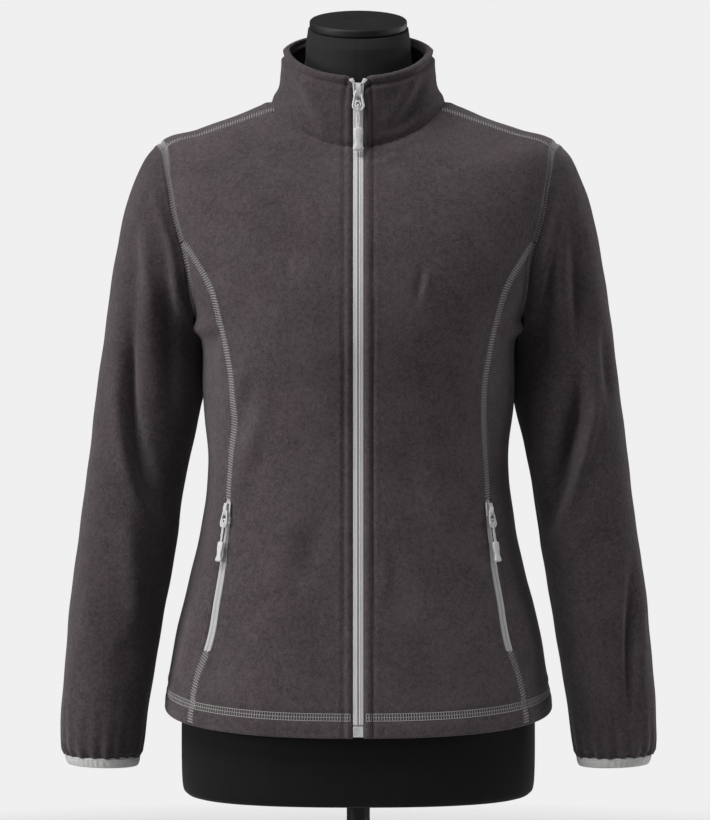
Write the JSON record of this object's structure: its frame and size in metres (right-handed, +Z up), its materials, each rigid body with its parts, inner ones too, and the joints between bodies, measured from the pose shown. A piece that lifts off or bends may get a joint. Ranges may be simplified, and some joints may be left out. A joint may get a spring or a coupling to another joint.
{
  "type": "fleece zip jacket on a limbless dress form",
  "caption": "Fitted fleece jacket with a stand-up collar, full front zip, zipped pockets in the seams and bound cuffs, worn on a limbless dress form with a pole and round base.",
  "frame": {"origin": "middle of the round base's underside, on the floor", "axes": "+Z up along the pole, front of the jacket towards -Y, the wearer's left at +X"},
  "size_m": [0.6082, 0.3, 1.04],
  "materials": {
    "fleece": "napped fleece, matt, warm dark grey",
    "binding": "stretch binding, light grey",
    "zip_tape": "woven tape, light grey",
    "slider_enamel": "enamel, light grey",
    "form_jersey": "black jersey cover",
    "form_cap": "black covered cap",
    "stand_steel": "satin black paint"
  },
  "bodies": {
    "jacket_on_form": {"back": "fleece", "collar": "fleece", "cuff_left": "binding", "cuff_right": "binding", "form_neck_cap": "form_cap", "form_torso": "form_jersey", "front_left": "fleece", "front_right": "fleece", "pocket_slider_left": "slider_enamel", "pocket_slider_right": "slider_enamel", "pocket_tape_left": "zip_tape", "pocket_tape_right": "zip_tape", "side_left": "fleece", "side_right": "fleece", "sleeve_left": "fleece", "sleeve_right": "fleece", "stand_base": "stand_steel", "stand_pole": "stand_steel", "zip_box": "zip_tape", "zip_slider": "slider_enamel", "zip_tape_left": "zip_tape", "zip_tape_right": "zip_tape"},
    "front_pull": {"zip_pull": "slider_enamel"},
    "left_pocket_pull": {"pocket_pull_left": "slider_enamel"},
    "right_pocket_pull": {"pocket_pull_right": "slider_enamel"}
  },
  "joints": [
    {"name": "front_pull_swing", "type": "hinge", "parent": "jacket_on_form", "child": "front_pull", "pos_m": [0, -0.08172, 0.94164], "axis": [-1, 0, 0], "range_deg": [0, 150]},
    {"name": "left_pocket_pull_swing", "type": "hinge", "parent": "jacket_on_form", "child": "left_pocket_pull", "pos_m": [0.13342, -0.07874, 0.52003], "axis": [-0.6659, -0.746, 0.0059], "range_deg": [0, 150]},
    {"name": "right_pocket_pull_swing", "type": "hinge", "parent": "jacket_on_form", "child": "right_pocket_pull", "pos_m": [-0.13349, -0.07877, 0.52004], "axis": [-0.6592, 0.7519, -0.008], "range_deg": [0, 150]}
  ]
}
